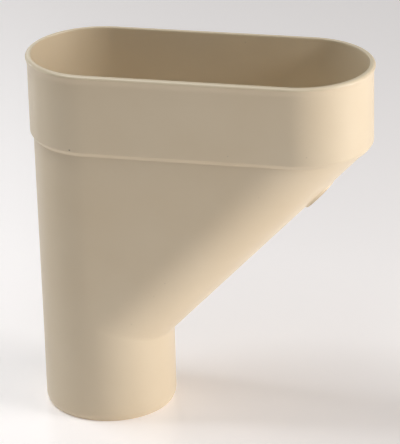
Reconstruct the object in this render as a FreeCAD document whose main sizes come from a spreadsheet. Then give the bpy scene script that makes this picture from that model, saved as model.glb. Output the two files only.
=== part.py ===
# Offset hopper for a round downpipe: an oblong mouth above, a round spigot below, moulded in one piece.
# Frame: millimetres, +Z up. The origin is on the spigot's axis, at the top of its straight length, where the
# pipe that takes the spigot stops. The mouth reaches towards +X.
import FreeCAD, Part
import Sketcher
import math
import os

# Driving dimensions
SIZES = {
    "pipe_radius": 40.0,        # outer radius of the spigot
    "wall": 2.4,                # wall of the whole moulding
    "spigot_length": 48.0,      # straight spigot below the crease
    "slope_angle": 43.7,        # lowest line of the sloping trough, in degrees from the vertical
    "draft_angle": 0.25,        # the hopper widens upwards by this much on every side, to leave its mould
    "mouth_reach": 120.9,       # distance between the centres of the mouth's two round ends
    "end_ledge": 0.4,           # left between the trough's lowest line and the far end of the shoulder
    "shoulder_step": 2.0,       # the mouth stands out from the hopper by this much all round
    "shoulder_rise": 2.8,       # height of the slanted shoulder that carries that step
    "shoulder_round": 0.8,      # soft edge between the shoulder and the mouth's wall
    "mouth_height": 50.7,       # from the foot of the shoulder to the rim
    "lip_proud": 0.95,          # the rim's outer bead
    "lip_face": 1.8,            # height of the bead's upright face
    "lip_taper": 1.4,           # height over which the bead runs out below
    "rim_round": 1.7,           # outer edge of the rim
    "edge_round": 0.4,          # inner edges of the rim and of the spigot's end
    "lead_in": 1.5,             # bevel that leads the spigot into its pipe: inward
    "lead_rise": 3.2,           # and up its wall
    "pad_radius": 12.0,         # round pad under the slope, where the mould was filled
    "pad_proud": 0.5,           # how far it stands out from the trough's lowest line
    "pad_drop": 42.5,           # its centre, measured down the slope from the shoulder
}

doc = FreeCAD.newDocument("offset_hopper")
sheet = doc.addObject("Spreadsheet::Sheet", "Sizes")
for row, (name, value) in enumerate(SIZES.items(), start=1):
    sheet.set(f"A{row}", name)
    sheet.set(f"B{row}", str(value))
    sheet.setAlias(f"B{row}", name)
doc.recompute()


def present(expression):
    """Present value of an expression in the driving dimensions."""
    return float(sheet.evalExpression(expression))


# Sizes that follow from the driving ones. The hopper's outline is the skin round a ball that grows as it
# rises, once straight up from the turn and once up the slope, so that drafted walls and trough meet without
# a step.
SLOPE = "Sizes.slope_angle * 1 deg"
DRAFT = "Sizes.draft_angle * 1 deg"
TROUGH_DRAFT = f"atan(sin({DRAFT}) * cos({SLOPE}) / (1 - sin({DRAFT}) * sin({SLOPE})))"
TROUGH_TILT = f"({SLOPE} - {TROUGH_DRAFT})"
TURN_HEIGHT = f"Sizes.pipe_radius * tan(({SLOPE} + {DRAFT}) / 2)"
SHOULDER_HEIGHT = f"(Sizes.mouth_reach - Sizes.end_ledge) / (tan({SLOPE}) - tan({DRAFT}))"
RIM_HEIGHT = f"({SHOULDER_HEIGHT} + Sizes.mouth_height)"
BORE_RADIUS = "(Sizes.pipe_radius - Sizes.wall)"
MOUTH_RADIUS = f"(Sizes.pipe_radius + {SHOULDER_HEIGHT} * tan({DRAFT}) + Sizes.shoulder_step)"
SPACE_RADIUS = f"({MOUTH_RADIUS} - Sizes.wall)"
# the inner shoulder lies a little higher, so that the slanted wall keeps its thickness
SEAT_HEIGHT = f"({SHOULDER_HEIGHT} + Sizes.wall * tan(atan(Sizes.shoulder_step / Sizes.shoulder_rise) / 2))"
SEAT_STEP = f"{SPACE_RADIUS} - {BORE_RADIUS} - {SEAT_HEIGHT} * tan({DRAFT})"
BEAD_RADIUS = f"({MOUTH_RADIUS} + Sizes.lip_proud)"
BEAD_HEIGHT = "(Sizes.lip_face + Sizes.lip_taper)"
BEAD_FOOT = f"({RIM_HEIGHT} - {BEAD_HEIGHT})"


def new_body(name):
    return doc.addObject("PartDesign::Body", name)


def place_on(item, body, plane="XY_Plane", height="0", tilt="0 deg", forward="0"):
    """Puts a sketch or a cone on one of the body's planes: on XY raised, turned about Y and moved along X."""
    support = next(feature for feature in body.Origin.OriginFeatures if feature.Role == plane)
    item.AttachmentSupport = [(support, "")]
    item.MapMode = "FlatFace"
    item.AttachmentOffset = FreeCAD.Placement(FreeCAD.Vector(), FreeCAD.Rotation(FreeCAD.Vector(0, 1, 0), 1))
    item.setExpression(".AttachmentOffset.Rotation.Angle", tilt)
    item.setExpression(".AttachmentOffset.Base.x", forward)
    item.setExpression(".AttachmentOffset.Base.z", height)


def new_sketch(body, name, **place):
    sketch = body.newObject("Sketcher::SketchObject", name)
    place_on(sketch, body, **place)
    return sketch


def bind(sketch, name, expression, constraint):
    """Adds a constraint under a name and binds it to an expression."""
    index = sketch.addConstraint(constraint)
    sketch.renameConstraint(index, name)
    sketch.setExpression(f"Constraints.{name}", expression)


def circle(body, name, radius, **place):
    sketch = new_sketch(body, name, **place)
    start = present(radius)
    ring = sketch.addGeometry(Part.Circle(FreeCAD.Vector(), FreeCAD.Vector(0, 0, 1), start))
    sketch.addConstraint(Sketcher.Constraint("Coincident", ring, 3, -1, 1))
    bind(sketch, "radius", radius, Sketcher.Constraint("Radius", ring, start))
    return sketch


def oblong(body, name, radius, **place):
    """Two half circles, one on the spigot's axis and one at the mouth's far end, joined by straight sides."""
    sketch = new_sketch(body, name, **place)
    start = present(radius)
    up = FreeCAD.Vector(0, 0, 1)
    near = FreeCAD.Vector()
    far = FreeCAD.Vector(present("Sizes.mouth_reach"), 0, 0)
    side = FreeCAD.Vector(0, start, 0)
    quarter = math.pi / 2
    left = sketch.addGeometry(Part.ArcOfCircle(Part.Circle(near, up, start), quarter, 3 * quarter))
    right = sketch.addGeometry(Part.ArcOfCircle(Part.Circle(far, up, start), -quarter, quarter))
    front = sketch.addGeometry(Part.LineSegment(near - side, far - side))
    back = sketch.addGeometry(Part.LineSegment(far + side, near + side))
    sketch.addConstraint(Sketcher.Constraint("Coincident", left, 3, -1, 1))
    sketch.addConstraint(Sketcher.Constraint("PointOnObject", right, 3, -1))
    sketch.addConstraint(Sketcher.Constraint("Tangent", left, 2, front, 1))
    sketch.addConstraint(Sketcher.Constraint("Tangent", front, 2, right, 1))
    sketch.addConstraint(Sketcher.Constraint("Tangent", right, 2, back, 1))
    sketch.addConstraint(Sketcher.Constraint("Tangent", back, 2, left, 1))
    sketch.addConstraint(Sketcher.Constraint("Equal", left, right))
    bind(sketch, "radius", radius, Sketcher.Constraint("Radius", left, start))
    bind(sketch, "reach", "Sizes.mouth_reach", Sketcher.Constraint("DistanceX", left, 3, right, 3, far.x))
    return sketch


def extrude(body, name, sketch, length, draft=None, down=False):
    feature = body.newObject("PartDesign::Pad", name)
    feature.Profile = sketch
    feature.Reversed = down
    feature.setExpression("Length", length)
    if draft:
        feature.setExpression("TaperAngle", draft)
    return feature


def edge_names(shape, wanted):
    """Names of the edges whose every end and middle point passes the test."""
    found = []
    for index, edge in enumerate(shape.Edges, start=1):
        middle = edge.valueAt((edge.FirstParameter + edge.LastParameter) / 2)
        points = [vertex.Point for vertex in edge.Vertexes] + [middle]
        if all(wanted(point) for point in points):
            found.append(f"Edge{index}")
    return found


def dress(body, kind, name, wanted, **bound):
    """A fillet or chamfer on the chosen edges of the body as it stands."""
    doc.recompute()
    base = body.Tip
    feature = body.newObject(kind, name)
    feature.Base = (base, edge_names(base.Shape, wanted))
    for key, expression in bound.items():
        feature.setExpression(key, expression)
    return feature


def slant(body, name, wanted, inward, up):
    """Slants the chosen bottom edges: so far inward, and so far up the wall."""
    feature = dress(body, "PartDesign::Chamfer", name, wanted, Size=up, Size2=inward)
    feature.ChamferType = "Two distances"


def join(body, name, kind, *others):
    """Adds other bodies to this one, or takes them away from it."""
    feature = doc.addObject("PartDesign::Boolean", name)
    body.addObject(feature)
    feature.Type = kind
    feature.setObjects(list(others))
    body.Tip = feature


def on_oblong(radius, height, reach="Sizes.mouth_reach"):
    """A test for points on an oblong of a given radius, at a given height."""
    radius, height, reach = present(radius), present(height), present(reach)
    near = 1e-4

    def wanted(point):
        past_end = point.x - min(max(point.x, 0.0), reach)
        return abs(math.hypot(past_end, point.y) - radius) < near and abs(point.z - height) < near

    return wanted


def on_circle(radius, height):
    """The same about the spigot's axis alone."""
    return on_oblong(radius, height, reach="0")


def under_slope(prefix, radius):
    """All that lies under the slope: a block whose top is the plane where the walls' sides turn into the
    trough, less the round trough itself, a cone about the slope's axis."""
    body = new_body(f"{prefix}_under_slope")
    ball = f"({radius} * cos({DRAFT}) + {TURN_HEIGHT} * sin({DRAFT}))"
    width = "(Sizes.mouth_reach + 2 * Sizes.pipe_radius)"
    sizes = {
        "turn": f"{TURN_HEIGHT} - {ball} * sin({DRAFT})",
        "width": width,
        "rise": f"{width} * cos({DRAFT}) * cos({DRAFT}) / tan({TROUGH_TILT})",
        "depth": "Sizes.pipe_radius",
    }
    turn, across, rise, depth = [present(expression) for expression in sizes.values()]
    block = new_sketch(body, f"{prefix}_under_block", plane="XZ_Plane")
    corners = [(0, turn), (across, turn + rise), (across, -depth), (0, -depth)]
    points = [FreeCAD.Vector(x, y, 0) for x, y in corners]
    sides = zip(points, points[1:] + points[:1])
    slope, end, floor, back = [block.addGeometry(Part.LineSegment(first, second)) for first, second in sides]
    for first, second in ((slope, end), (end, floor), (floor, back), (back, slope)):
        block.addConstraint(Sketcher.Constraint("Coincident", first, 2, second, 1))
    block.addConstraint(Sketcher.Constraint("Vertical", end))
    block.addConstraint(Sketcher.Constraint("Horizontal", floor))
    block.addConstraint(Sketcher.Constraint("Vertical", back))
    block.addConstraint(Sketcher.Constraint("PointOnObject", slope, 1, -2))
    bind(block, "turn", sizes["turn"], Sketcher.Constraint("DistanceY", -1, 1, slope, 1, turn))
    bind(block, "width", sizes["width"], Sketcher.Constraint("DistanceX", slope, 1, slope, 2, across))
    bind(block, "rise", sizes["rise"], Sketcher.Constraint("DistanceY", slope, 1, slope, 2, rise))
    bind(block, "depth", sizes["depth"], Sketcher.Constraint("DistanceY", floor, 1, -1, 1, depth))
    extrude(body, f"{prefix}_under_all", block, "4 * Sizes.pipe_radius").Midplane = True
    trough = body.newObject("PartDesign::SubtractiveCone", f"{prefix}_trough")
    before = "Sizes.pipe_radius"
    past = f"({SHOULDER_HEIGHT} + 2 * Sizes.pipe_radius) / cos({TROUGH_TILT})"
    place_on(trough, body, tilt=TROUGH_TILT, forward=f"-{before} * sin({TROUGH_TILT})",
             height=f"{TURN_HEIGHT} - {before} * cos({TROUGH_TILT})")
    trough.setExpression("Radius1", f"{ball} / cos({TROUGH_DRAFT}) - {before} * tan({TROUGH_DRAFT})")
    trough.setExpression("Radius2", f"{ball} / cos({TROUGH_DRAFT}) + {past} * tan({TROUGH_DRAFT})")
    trough.setExpression("Height", f"{before} + {past}")
    return body


def hopper_form(body, prefix, radius, depth, top):
    """The hopper's outline for one radius: an upright oblong, cut under the slope, a round wall about the
    spigot's axis, and the straight spigot. The outer skin and the waterway in it are both made by this."""
    extrude(body, f"{prefix}_upright", oblong(body, f"{prefix}_oblong", radius), top, draft=DRAFT)
    join(body, f"{prefix}_sloped", "Cut", under_slope(prefix, radius))
    extrude(body, f"{prefix}_round", circle(body, f"{prefix}_ring", radius), top, draft=DRAFT)
    extrude(body, f"{prefix}_spigot", circle(body, f"{prefix}_pipe", radius), depth, down=True)


# Mouth: an oblong wall with a bead round the rim, on a slanted shoulder
mouth = new_body("mouth")
extrude(mouth, "bead", oblong(mouth, "bead_oblong", BEAD_RADIUS, height=BEAD_FOOT), BEAD_HEIGHT)
slant(mouth, "bead_runout", on_oblong(BEAD_RADIUS, BEAD_FOOT), "Sizes.lip_proud", "Sizes.lip_taper")
rim_edge = on_oblong(BEAD_RADIUS, RIM_HEIGHT)
dress(mouth, "PartDesign::Fillet", "rim_outer_edge", rim_edge, Radius="Sizes.rim_round")
wall_oblong = oblong(mouth, "wall_oblong", MOUTH_RADIUS, height=SHOULDER_HEIGHT)
extrude(mouth, "mouth_wall", wall_oblong, f"{BEAD_FOOT} - {SHOULDER_HEIGHT}")
shoulder_foot = on_oblong(MOUTH_RADIUS, SHOULDER_HEIGHT)
slant(mouth, "shoulder", shoulder_foot, "Sizes.shoulder_step", "Sizes.shoulder_rise")
shoulder_top = on_oblong(MOUTH_RADIUS, f"{SHOULDER_HEIGHT} + Sizes.shoulder_rise")
dress(mouth, "PartDesign::Fillet", "shoulder_edge", shoulder_top, Radius="Sizes.shoulder_round")

# Space inside the mouth, down to the seat on the inner shoulder
space = new_body("mouth_space")
extrude(space, "space", oblong(space, "space_oblong", SPACE_RADIUS, height=SEAT_HEIGHT), "Sizes.mouth_height")
slant(space, "seat", on_oblong(SPACE_RADIUS, SEAT_HEIGHT), SEAT_STEP, "Sizes.shoulder_rise")

# Waterway through the hopper and out of the spigot's end
waterway = new_body("waterway")
hopper_form(waterway, "bore", BORE_RADIUS, "Sizes.spigot_length + Sizes.wall", SEAT_HEIGHT)

# The moulding: the hopper's skin, its fill pad and the mouth in one, less the spaces inside
hopper = new_body("hopper")
hopper.Label = "offset_elbow"
hopper_form(hopper, "skin", "Sizes.pipe_radius", "Sizes.spigot_length", SHOULDER_HEIGHT)
pad_disc = circle(
    hopper, "fill_pad_disc", "Sizes.pad_radius", tilt=f"{SLOPE} + 90 deg",
    forward=f"Sizes.pipe_radius + {SHOULDER_HEIGHT} * tan({SLOPE})"
            f" - Sizes.pad_drop * sin({SLOPE}) + Sizes.pad_proud * cos({SLOPE})",
    height=f"{SHOULDER_HEIGHT} - Sizes.pad_drop * cos({SLOPE}) - Sizes.pad_proud * sin({SLOPE})")
extrude(hopper, "fill_pad", pad_disc, "Sizes.pad_proud + Sizes.pad_radius", down=True)
join(hopper, "with_mouth", "Fuse", mouth)
join(hopper, "hollowed", "Cut", waterway, space)
slant(hopper, "spigot_lead_in", on_circle("Sizes.pipe_radius", "-Sizes.spigot_length"),
      "Sizes.lead_in", "Sizes.lead_rise")
for name, edge in (("spigot_inner_edge", on_circle(BORE_RADIUS, "-Sizes.spigot_length")),
                   ("rim_inner_edge", on_oblong(SPACE_RADIUS, RIM_HEIGHT))):
    dress(hopper, "PartDesign::Fillet", name, edge, Radius="Sizes.edge_round")
doc.recompute()

for item in doc.Objects:
    if {"Invalid", "Error"} & set(item.State):
        raise RuntimeError(f"{item.Name}: {item.getStatusString()}")

os.makedirs("parts", exist_ok=True)
shape = hopper.Tip.Shape
if shape.isNull() or not shape.isValid() or len(shape.Solids) != 1:
    raise RuntimeError(f"{hopper.Label} is not one valid solid")
moulding = shape.Solids[0]
moulding.exportStep(f"parts/{hopper.Label}.step")
print(hopper.Label, "volume", round(moulding.Volume), "mm3,", len(moulding.Faces), "faces, balance point",
      [round(value, 1) for value in moulding.CenterOfMass])
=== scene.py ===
import math

import bmesh
import bpy
from mathutils import Matrix, Vector


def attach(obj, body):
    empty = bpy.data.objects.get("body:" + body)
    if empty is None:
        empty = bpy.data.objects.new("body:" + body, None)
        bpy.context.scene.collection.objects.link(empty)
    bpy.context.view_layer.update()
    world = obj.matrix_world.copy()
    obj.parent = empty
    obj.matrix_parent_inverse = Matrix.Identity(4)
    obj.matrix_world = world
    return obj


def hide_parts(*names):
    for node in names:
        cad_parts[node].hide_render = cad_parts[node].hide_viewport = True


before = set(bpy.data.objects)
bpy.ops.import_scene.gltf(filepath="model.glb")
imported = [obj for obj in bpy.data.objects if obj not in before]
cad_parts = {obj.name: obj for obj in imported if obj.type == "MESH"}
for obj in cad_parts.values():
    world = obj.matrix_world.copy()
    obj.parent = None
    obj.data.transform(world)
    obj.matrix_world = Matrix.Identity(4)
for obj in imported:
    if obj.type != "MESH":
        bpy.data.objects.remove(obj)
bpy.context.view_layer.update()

mm = 0.001

# The fitting: one moulding, from the oblong mouth down to the round spigot.
# All lengths are millimetres. Height 0 is the top of the spigot's straight length.
moulding = {
    "pipeRadius": 40.0,
    "wall": 2.4,
    "spigotLength": 48.0,
    "slope": math.radians(43.7),     # lowest line of the trough, from the vertical
    "draft": math.radians(0.25),
    "mouthReach": 120.9,             # between the centres of the mouth's round ends
    "endLedge": 0.4,
    "shoulderStep": 2.0,
    "shoulderRise": 2.8,
    "mouthHeight": 50.7,
    "lipProud": 0.95,                # the bead under the rim
    "lipFace": 1.8,
    "lipTaper": 3.2,
    "rimRound": 1.7,
    "rimInset": 0.35,                # the rim's soft inner edge, across and down
    "rimDrop": 1.3,
    "leadIn": 1.5,                   # the bevel at the spigot's end, across and up
    "leadRise": 3.2,
    "creaseRound": 4.5,              # the soft bend where spigot and trough meet
    "ledgeClimb": 0.4,               # how far the ledge's edge climbs the slant where the ledge runs out
    "ledgeFade": 1.5,                # the width of ledge below which it climbs
}

# how far each edge is softened, in millimetres along the walls on both sides of it
softEdges = {
    "foot": 0.4,                     # where the walls run into the shoulder from below
    "ledge": 0.4,
    "shoulder": 0.55,
    "beadFoot": 1.5,
    "bead": 0.8,
    "seatFoot": 0.6,                 # the shoulder on the inside
    "seat": 0.5,
    "seatTop": 1.2,
    "bevel": 1.7,
    "tip": 0.4,
    "bore": 0.4,
}

# the columns round the skin and the rows up it, and the angle in degrees from which an edge counts as sharp
grid = {"end": 72, "side": 20, "fillet": 6, "trough": 26, "spigot": 8, "wallRows": 8, "sharpAngle": 35}

tanSlope = math.tan(moulding["slope"])
cosSlope = math.cos(moulding["slope"])
sinSlope = math.sin(moulding["slope"])
tanDraft = math.tan(moulding["draft"])
pipeRadius = moulding["pipeRadius"]
turnHeight = pipeRadius * math.tan((moulding["slope"] + moulding["draft"]) / 2)
shoulderHeight = (moulding["mouthReach"] - moulding["endLedge"]) / (tanSlope - tanDraft)
rimHeight = shoulderHeight + moulding["mouthHeight"]
hopperRadius = pipeRadius + shoulderHeight * tanDraft
mouthRadius = hopperRadius + moulding["shoulderStep"]
spaceRadius = mouthRadius - moulding["wall"]
boreRadius = pipeRadius - moulding["wall"]
seatHeight = shoulderHeight + moulding["wall"] * math.tan(
    math.atan(moulding["shoulderStep"] / moulding["shoulderRise"]) / 2)
axisLean = tanSlope - tanDraft / cosSlope


def troughStart(height):
    # where the flat side ends and the round trough begins
    return max(0.0, height - turnHeight) * axisLean


def skinRadius(radius, height):
    return radius + max(0.0, height) * tanDraft


def creaseHeight(radius, along):
    # height where an upright line of the spigot meets the trough; along is the line's cosine round the pipe
    gain = 1 / cosSlope - 1
    return (turnHeight * axisLean - radius * along * gain) / (axisLean + tanDraft * along * gain)


def skinX(radius, along, height, bend):
    # one line of the skin, seen from the side: upright, round the soft bend, then down the slope
    upright = skinRadius(radius, height) * along
    crease = creaseHeight(radius, along)
    reach = bend * math.tan(moulding["slope"] / 2)
    rise = height - crease + reach
    if rise <= 0:
        return upright
    if rise <= bend * sinSlope:
        return upright + bend - math.sqrt(bend * bend - rise * rise)
    return (height - turnHeight) * axisLean + skinRadius(radius, height) / cosSlope * along


def columns():
    # every column goes once round: front side, far end, back side, near end
    found = []
    for step in range(grid["side"]):
        found.append(("side", step / grid["side"], -1.0))
    for step in range(grid["end"]):
        found.append(("far", -math.pi / 2 + math.pi * step / grid["end"], 0.0))
    for step in range(grid["side"]):
        found.append(("side", 1 - step / grid["side"], 1.0))
    for step in range(grid["end"]):
        found.append(("near", math.pi / 2 + math.pi * step / grid["end"], 0.0))
    return found


ringColumns = columns()


def hopperRing(radius, level, bend):
    # level gives each column its own height from the cosine of its line, so that rows follow the crease
    points = []
    for kind, place, side in ringColumns:
        if kind == "near":
            height = level(0.0, radius)
            spread = skinRadius(radius, height)
            points.append(Vector((spread * math.cos(place), spread * math.sin(place), height)))
        elif kind == "far":
            along = math.cos(place)
            height = level(along, radius)
            spread = skinRadius(radius, height)
            points.append(Vector((skinX(radius, along, height, bend), spread * math.sin(place), height)))
        else:
            height = level(0.0, radius)
            spread = skinRadius(radius, height)
            points.append(Vector((place * skinX(radius, 0.0, height, bend), side * spread, height)))
    return points


def mouthRing(radius, height, sideEnd):
    # an upright oblong; sideEnd is where the trough's columns take over from the flat side's
    reach = moulding["mouthReach"]
    arc = math.pi * hopperRadius
    corner = reach - sideEnd
    points = []
    for kind, place, side in ringColumns:
        if kind == "near":
            points.append(Vector((radius * math.cos(place), radius * math.sin(place), height)))
        elif kind == "side":
            points.append(Vector((place * sideEnd, side * radius, height)))
        else:
            length = (place + math.pi / 2) / math.pi * (arc + 2 * corner)
            if length < corner:
                points.append(Vector((sideEnd + length, -radius, height)))
            elif length > corner + arc:
                points.append(Vector((sideEnd + arc + 2 * corner - length, radius, height)))
            else:
                turn = (length - corner) / hopperRadius - math.pi / 2
                points.append(Vector((reach + radius * math.cos(turn), radius * math.sin(turn), height)))
    return points


def softened(path, corners):
    # rows of rings through a path of rings, with the named corners rounded over the given reach
    rows = []
    last = len(path) - 1
    for index, ring in enumerate(path):
        reach = corners.get(index)
        if reach is None or index in (0, last):
            rows.append(ring)
            continue
        before, after = path[index - 1], path[index + 1]
        steps = grid["fillet"]
        for step in range(steps + 1):
            t = step / steps
            row = []
            for here, back, on in zip(ring, before, after):
                into = back - here
                out = on - here
                start = here + into * min(0.5, reach / max(into.length, 1e-9))
                end = here + out * min(0.5, reach / max(out.length, 1e-9))
                row.append(start * (1 - t) ** 2 + here * 2 * t * (1 - t) + end * t * t)
            rows.append(row)
    return rows


def hopperRows(radius, bottom, top, bend):
    # from the spigot's end up to the shoulder, in rows that follow the crease
    reach = bend * math.tan(moulding["slope"] / 2)
    levels = []
    for step in range(grid["spigot"] + 1):
        levels.append(lambda along, size, t=step / grid["spigot"]:
                      bottom + (creaseHeight(size, along) - reach - bottom) * t)
    arcSteps = 2 * grid["fillet"]
    for step in range(1, arcSteps + 1):
        lift = bend * math.sin(moulding["slope"] * step / arcSteps)
        levels.append(lambda along, size, lift=lift: creaseHeight(size, along) - reach + lift)
    lift = bend * sinSlope - reach
    for step in range(1, grid["trough"] + 1):
        levels.append(lambda along, size, t=step / grid["trough"]:
                      creaseHeight(size, along) + lift + (top - creaseHeight(size, along) - lift) * t)
    return [hopperRing(radius, level, bend) for level in levels]


def outerSkin():
    rows = hopperRows(pipeRadius, -moulding["spigotLength"] + moulding["leadRise"], shoulderHeight,
                      moulding["creaseRound"])
    sideEnd = troughStart(shoulderHeight)
    foot = mouthRing(hopperRadius, shoulderHeight, sideEnd)
    slantTop = mouthRing(mouthRadius, shoulderHeight + moulding["shoulderRise"], sideEnd)
    body = rows[-1]
    # where the crescent ledge runs out, its outer edge climbs the slant, so nothing meets in a point
    ledgeEdge = []
    for inside, outside, above in zip(body, foot, slantTop):
        width = (outside - inside).length
        climb = moulding["ledgeClimb"] * max(0.0, 1 - width / moulding["ledgeFade"])
        ledgeEdge.append(outside + (above - outside) * climb)
    beadFoot = rimHeight - moulding["lipFace"] - moulding["lipTaper"]
    beadRadius = mouthRadius + moulding["lipProud"]
    path = [rows[-2], body, ledgeEdge, slantTop]
    for step in range(1, grid["wallRows"]):
        height = shoulderHeight + moulding["shoulderRise"]
        height += (beadFoot - height) * step / grid["wallRows"]
        path.append(mouthRing(mouthRadius, height, sideEnd))
    path.append(mouthRing(mouthRadius, beadFoot, sideEnd))
    path.append(mouthRing(beadRadius, rimHeight - moulding["lipFace"], sideEnd))
    path.append(mouthRing(beadRadius, rimHeight - moulding["rimRound"], sideEnd))
    corners = {1: softEdges["foot"], 2: softEdges["ledge"], 3: softEdges["shoulder"]}
    corners[len(path) - 3] = softEdges["beadFoot"]
    corners[len(path) - 2] = softEdges["bead"]
    rows = rows[:-1] + softened(path, corners)[1:]
    # the rim's outer edge is one full round
    steps = 2 * grid["fillet"]
    for step in range(1, steps + 1):
        turn = math.pi / 2 * step / steps
        radius = beadRadius - moulding["rimRound"] * (1 - math.cos(turn))
        rows.append(mouthRing(radius, rimHeight - moulding["rimRound"] * (1 - math.sin(turn)), sideEnd))
    return rows


def innerSkin():
    bend = moulding["creaseRound"] + moulding["wall"]
    rows = hopperRows(boreRadius, -moulding["spigotLength"] + softEdges["bore"], seatHeight, bend)
    sideEnd = troughStart(seatHeight)
    foot = mouthRing(skinRadius(boreRadius, seatHeight), seatHeight, sideEnd)
    seatTop = mouthRing(spaceRadius, seatHeight + moulding["shoulderRise"], sideEnd)
    path = [rows[-2], rows[-1], foot, seatTop]
    for step in range(1, grid["wallRows"]):
        height = seatHeight + moulding["shoulderRise"]
        height += (rimHeight - height) * step / grid["wallRows"]
        path.append(mouthRing(spaceRadius, height, sideEnd))
    path.append(mouthRing(spaceRadius, rimHeight - moulding["rimDrop"], sideEnd))
    corners = {1: softEdges["seatFoot"], 2: softEdges["seat"], 3: softEdges["seatTop"]}
    rows = rows[:-1] + softened(path, corners)[1:]
    # the rim's inner edge is rounder downwards than across
    steps = 2 * grid["fillet"]
    for step in range(1, steps + 1):
        turn = math.pi / 2 * step / steps
        radius = spaceRadius + moulding["rimInset"] * (1 - math.cos(turn))
        rows.append(mouthRing(radius, rimHeight - moulding["rimDrop"] * (1 - math.sin(turn)), sideEnd))
    return rows


def spigotEnd(outer, inner):
    # the bevel that leads the spigot into its pipe, the flat end and the bore's soft edge
    low = -moulding["spigotLength"]
    tip = pipeRadius - moulding["leadIn"]

    def flatRing(radius, height):
        return hopperRing(radius, lambda along, size: height, moulding["creaseRound"])

    path = [outer[1], outer[0], flatRing(tip, low), flatRing(boreRadius, low), inner[0], inner[1]]
    corners = {1: softEdges["bevel"], 2: softEdges["tip"], 3: softEdges["bore"]}
    return softened(path, corners)[1:-2]


def meshFromRows(name, rows):
    mesh = bpy.data.meshes.new(name)
    build = bmesh.new()
    rings = []
    for row in rows:
        rings.append([build.verts.new(point * mm) for point in row])
    for lower, upper in zip(rings, rings[1:] + rings[:1]):
        count = len(lower)
        for index in range(count):
            following = (index + 1) % count
            build.faces.new((lower[index], lower[following], upper[following], upper[index]))
    bmesh.ops.remove_doubles(build, verts=build.verts, dist=1e-6)
    bmesh.ops.dissolve_degenerate(build, edges=build.edges, dist=1e-6)
    bmesh.ops.recalc_face_normals(build, faces=build.faces)
    build.to_mesh(mesh)
    build.free()
    return mesh


# the round pad under the slope where the mould was filled
pad = {
    "radius": 12.0,
    "proud": 0.5,
    "drop": 42.5,                    # from the shoulder down the slope
    "depth": 1.2,                    # how far it reaches into the wall
    "flare": 2.0,                    # its side sweeps out over this width
    "sunk": 0.2,                     # and starts this far under the skin
    "edge": 0.25,
    "crown": 0.22,                   # how far its face follows the trough's round
    "segments": 96,
    "sweepSteps": 8,
    "edgeSteps": 4,
}


def padMesh():
    # a low disc whose side sweeps up out of the wall
    radius, edge, flare, sunk = pad["radius"], pad["edge"], pad["flare"], pad["sunk"]
    side = pad["proud"] - edge
    base = -pad["depth"]
    # each ring has a reach, a height over the trough's lowest line, and its share of the trough's round
    profile = [(0.0, base, 1.0), (radius + flare, base, 1.0), (radius + flare, -sunk, 1.0)]
    for step in range(1, pad["sweepSteps"] + 1):
        turn = math.pi / 2 * step / pad["sweepSteps"]
        rise = 1 - math.cos(turn)
        out = radius + flare * (1 - math.sin(turn))
        profile.append((out, (side + sunk) * rise - sunk, 1 - (1 - pad["crown"]) * rise))
    for step in range(1, pad["edgeSteps"] + 1):
        turn = math.pi / 2 * step / pad["edgeSteps"]
        profile.append((radius - edge + edge * math.cos(turn), side + edge * math.sin(turn), pad["crown"]))
    for part in (0.6, 0.3, 0.0):
        profile.append((radius * part, pad["proud"], pad["crown"]))
    build = bmesh.new()
    rings = []
    for reach, height, follow in profile:
        ring = []
        for step in range(pad["segments"]):
            turn = 2 * math.pi * step / pad["segments"]
            across = reach * math.cos(turn)
            drop = pipeRadius - math.sqrt(pipeRadius * pipeRadius - across * across)
            up = (height - follow * drop) * mm
            ring.append(build.verts.new((across * mm, reach * math.sin(turn) * mm, up)))
        rings.append(ring)
    for lower, upper in zip(rings, rings[1:]):
        for index in range(len(lower)):
            following = (index + 1) % len(lower)
            build.faces.new((lower[index], lower[following], upper[following], upper[index]))
    bmesh.ops.remove_doubles(build, verts=build.verts, dist=1e-7)
    bmesh.ops.dissolve_degenerate(build, edges=build.edges, dist=1e-7)
    bmesh.ops.recalc_face_normals(build, faces=build.faces)
    mesh = bpy.data.meshes.new("padMesh")
    build.to_mesh(mesh)
    build.free()
    across = pipeRadius + shoulderHeight * tanSlope - pad["drop"] * sinSlope
    height = shoulderHeight - pad["drop"] * cosSlope
    outward = Vector((cosSlope, 0, -sinSlope))
    facing = outward.to_track_quat("Z", "Y").to_matrix().to_4x4()
    mesh.transform(Matrix.Translation(Vector((across, 0, height)) * mm) @ facing)
    return mesh


def unite(target, other):
    joiner = target.modifiers.new("padUnion", "BOOLEAN")
    joiner.operation = "UNION"
    joiner.solver = "EXACT"
    joiner.object = other
    bpy.context.view_layer.update()
    graph = bpy.context.evaluated_depsgraph_get()
    merged = bpy.data.meshes.new_from_object(target.evaluated_get(graph))
    target.modifiers.clear()
    old = target.data
    target.data = merged
    bpy.data.meshes.remove(old)
    bpy.data.objects.remove(other)


def buildMoulding():
    outer = outerSkin()
    inner = innerSkin()
    end = spigotEnd(outer, inner)
    rows = list(reversed(outer[1:])) + end + inner
    fitting = bpy.data.objects.new("offset_elbow_moulding", meshFromRows("mouldingMesh", rows))
    bpy.context.scene.collection.objects.link(fitting)
    disc = bpy.data.objects.new("pad", padMesh())
    bpy.context.scene.collection.objects.link(disc)
    unite(fitting, disc)
    fitting.data.shade_smooth()
    fitting.data.set_sharp_from_angle(angle=math.radians(grid["sharpAngle"]))
    return fitting


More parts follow.
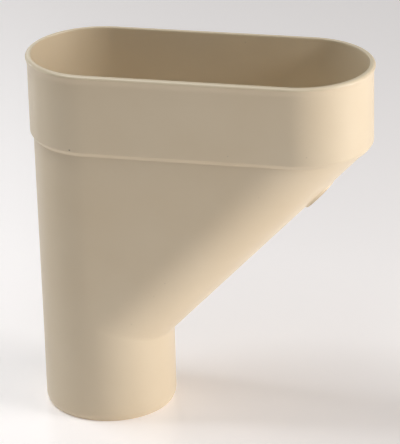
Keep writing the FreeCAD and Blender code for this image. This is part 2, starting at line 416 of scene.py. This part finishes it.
def mouldedPlastic():
    # sand-coloured rigid plastic: a soft satin gloss, a faint skin from the mould and pale flow clouds
    finish = {
        "refraction": 1.53,
        "colour": (0.760, 0.628, 0.440, 1),
        "paler": (0.795, 0.672, 0.488, 1),
        "cloudScale": 14.0,              # flow clouds, a few centimetres across
        "gloss": (0.30, 0.37),           # roughness where the skin is closed and where it is dull
        "dragDull": 0.03,                # the mould's drag marks are duller by this
        "dragStretch": (1.0, 1.0, 0.06),     # and run along the draw
        "dragScale": 420.0,
        "skinScale": 700.0,              # the skin's fine grain
        "skinDepth": 0.000010,
        "swell": 0.00005,                # slow swell of the flat sides
        "speckScale": 75.0,
        "speckSize": 0.035,
        "speckDepth": 0.5,
        "speckColour": (0.30, 0.24, 0.17, 1),
        "pitAt": (-0.0089, -0.0413, 0.1306),     # one dark pit at the shoulder
        "pitSize": 0.0007,
    }
    material = bpy.data.materials.new("sandPlastic")
    material.use_nodes = True
    nodes = material.node_tree.nodes
    links = material.node_tree.links
    shader = nodes["Principled BSDF"]
    shader.inputs["IOR"].default_value = finish["refraction"]
    place = nodes.new("ShaderNodeTexCoord").outputs["Object"]

    def noise(vector, scale, detail):
        cloud = nodes.new("ShaderNodeTexNoise")
        cloud.inputs["Scale"].default_value = scale
        cloud.inputs["Detail"].default_value = detail
        links.new(vector, cloud.inputs["Vector"])
        return cloud.outputs["Fac"]

    def spread(value, low, high, least, most):
        span = nodes.new("ShaderNodeMapRange")
        span.inputs["From Min"].default_value = low
        span.inputs["From Max"].default_value = high
        span.inputs["To Min"].default_value = least
        span.inputs["To Max"].default_value = most
        links.new(value, span.inputs["Value"])
        return span.outputs["Result"]

    def blend(mask, colour, other):
        mix = nodes.new("ShaderNodeMix")
        mix.data_type = "RGBA"
        links.new(mask, mix.inputs["Factor"])
        if isinstance(colour, tuple):
            mix.inputs["A"].default_value = colour
        else:
            links.new(colour, mix.inputs["A"])
        mix.inputs["B"].default_value = other
        return mix.outputs["Result"]

    clouds = noise(place, finish["cloudScale"], 4)
    stretch = nodes.new("ShaderNodeVectorMath")
    stretch.operation = "MULTIPLY"
    stretch.inputs[1].default_value = finish["dragStretch"]
    links.new(place, stretch.inputs[0])
    drag = noise(stretch.outputs["Vector"], finish["dragScale"], 2)
    skin = noise(place, finish["skinScale"], 3)

    # sparse specks in the plastic, and the one pit that shows
    cells = nodes.new("ShaderNodeTexVoronoi")
    cells.inputs["Scale"].default_value = finish["speckScale"]
    links.new(place, cells.inputs["Vector"])
    specks = spread(cells.outputs["Distance"], 0.0, finish["speckSize"], finish["speckDepth"], 0.0)
    reach = nodes.new("ShaderNodeVectorMath")
    reach.operation = "DISTANCE"
    reach.inputs[1].default_value = finish["pitAt"]
    links.new(place, reach.inputs[0])
    pit = spread(reach.outputs["Value"], finish["pitSize"] * 0.5, finish["pitSize"], 1.0, 0.0)

    colour = blend(spread(clouds, 0.3, 0.7, 0.0, 1.0), finish["colour"], finish["paler"])
    colour = blend(specks, colour, finish["speckColour"])
    colour = blend(pit, colour, finish["speckColour"])
    links.new(colour, shader.inputs["Base Color"])

    dull = nodes.new("ShaderNodeMath")
    dull.operation = "ADD"
    links.new(spread(clouds, 0.3, 0.7, finish["gloss"][0], finish["gloss"][1]), dull.inputs[0])
    links.new(spread(drag, 0.35, 0.65, 0.0, finish["dragDull"]), dull.inputs[1])
    links.new(dull.outputs["Value"], shader.inputs["Roughness"])

    surface = None
    for height, depth in ((clouds, finish["swell"]), (skin, finish["skinDepth"])):
        bump = nodes.new("ShaderNodeBump")
        bump.inputs["Strength"].default_value = 1.0
        bump.inputs["Distance"].default_value = depth
        links.new(height, bump.inputs["Height"])
        if surface:
            links.new(surface, bump.inputs["Normal"])
        surface = bump.outputs["Normal"]
    links.new(surface, shader.inputs["Normal"])
    return material


def studio():
    # a pale, faintly lit table, a soft warm light from the right and cooler light from the left and above
    table = {
        "half": 6.0,
        "colour": (0.93, 0.885, 0.865, 1),
        "roughness": 0.3,
        "glowColour": (1.0, 0.96, 0.94, 1),
        "glow": 0.21,
        "airColour": (1.0, 0.975, 0.955, 1),
        "airBrightness": 0.62,
    }
    low = -moulding["spigotLength"] * mm
    half = table["half"]
    mesh = bpy.data.meshes.new("floorMesh")
    corners = [(-half, -half, low), (half, -half, low), (half, half, low), (-half, half, low)]
    mesh.from_pydata(corners, [], [(0, 1, 2, 3)])
    floor = bpy.data.objects.new("studioFloor", mesh)
    bpy.context.scene.collection.objects.link(floor)
    material = bpy.data.materials.new("paleFloor")
    material.use_nodes = True
    shader = material.node_tree.nodes["Principled BSDF"]
    shader.inputs["Base Color"].default_value = table["colour"]
    shader.inputs["Roughness"].default_value = table["roughness"]
    shader.inputs["Emission Color"].default_value = table["glowColour"]
    shader.inputs["Emission Strength"].default_value = table["glow"]
    mesh.materials.append(material)

    world = bpy.data.worlds.new("studioAir")
    bpy.context.scene.world = world
    world.use_nodes = True
    air = world.node_tree.nodes["Background"]
    air.inputs["Color"].default_value = table["airColour"]
    # the air beyond the table looks pale, but all the light comes from the lamps and the table
    rays = world.node_tree.nodes.new("ShaderNodeLightPath")
    seen = world.node_tree.nodes.new("ShaderNodeMath")
    seen.operation = "MULTIPLY"
    seen.inputs[1].default_value = table["airBrightness"]
    world.node_tree.links.new(rays.outputs["Is Camera Ray"], seen.inputs[0])
    world.node_tree.links.new(seen.outputs["Value"], air.inputs["Strength"])

    plain = (1.0, 1.0, 1.0)
    warm = (1.0, 0.98, 0.96)
    warmer = (1.0, 0.95, 0.93)
    cool = (0.94, 0.97, 1.0)
    cooler = (0.91, 0.96, 1.0)
    target = Vector((0.05, 0, 0.06))
    lamps = [
        {"name": "leftRear", "at": (-0.682, 1.285, 0.659), "size": 0.6, "power": 2.0, "tint": plain},
        {"name": "leftBack", "at": (-1.379, 0.671, 0.255), "size": 0.36, "power": 2.5, "tint": plain},
        {"name": "leftLow", "at": (-1.504, -0.276, 0.255), "size": 0.36, "power": 1.85, "tint": plain},
        {"name": "rightSoft", "at": (1.493, -0.384, 0.659), "size": 0.35, "power": 6.71, "tint": warm},
        {"name": "rightHigh", "at": (1.153, -0.293, 1.191), "size": 0.6, "power": 2.92, "tint": warm},
        {"name": "rightLow", "at": (1.648, 0.0, 0.255), "size": 0.36, "power": 10.69, "tint": warmer},
        {"name": "frontTop", "at": (0.060, -0.599, 1.543), "size": 0.6, "power": 3.21, "tint": cool},
        {"name": "overhead", "at": (-0.539, 0.0, 1.543), "size": 0.6, "power": 11.76, "tint": cooler},
    ]
    for lamp in lamps:
        light = bpy.data.lights.new(lamp["name"], "AREA")
        light.shape = "SQUARE"
        light.size = lamp["size"]
        light.energy = lamp["power"]
        light.color = lamp["tint"]
        holder = bpy.data.objects.new(lamp["name"], light)
        holder.location = lamp["at"]
        toward = target - Vector(lamp["at"])
        holder.rotation_euler = toward.to_track_quat("-Z", "Y").to_euler()
        bpy.context.scene.collection.objects.link(holder)


def cameraLikePhoto():
    shot = {
        "place": (0.426527, -1.603323, 0.802223),
        "azimuth": math.radians(12.926),
        "elevation": math.radians(23.953),
        "roll": math.radians(-1.454),
        "focalPixels": 3007.0,
        "pictureHeight": 444,
    }
    camera = bpy.data.cameras.new("photoCamera")
    camera.sensor_fit = "VERTICAL"
    camera.sensor_height = 36.0
    camera.lens = shot["focalPixels"] * camera.sensor_height / shot["pictureHeight"]
    camera.clip_start = 0.1
    camera.clip_end = 30
    turn = shot["azimuth"]
    tilt = shot["elevation"]
    forward = Vector((-math.sin(turn) * math.cos(tilt), math.cos(turn) * math.cos(tilt), -math.sin(tilt)))
    right = Vector((math.cos(turn), math.sin(turn), 0))
    up = right.cross(forward)
    rolledRight = right * math.cos(shot["roll"]) + up * math.sin(shot["roll"])
    rolledUp = up * math.cos(shot["roll"]) - right * math.sin(shot["roll"])
    holder = bpy.data.objects.new("photoCamera", camera)
    basis = Matrix((rolledRight, rolledUp, -forward)).transposed().to_4x4()
    holder.matrix_world = Matrix.Translation(Vector(shot["place"])) @ basis
    bpy.context.scene.collection.objects.link(holder)
    bpy.context.scene.camera = holder


fitting = buildMoulding()
fitting.data.materials.append(mouldedPlastic())
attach(fitting, "root")
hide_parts("offset_elbow")
print("moulding:", len(fitting.data.vertices), "points,", len(fitting.data.polygons), "faces")

studio()
cameraLikePhoto()
bpy.context.scene.view_settings.view_transform = "Standard"
print("studio and camera are ready")
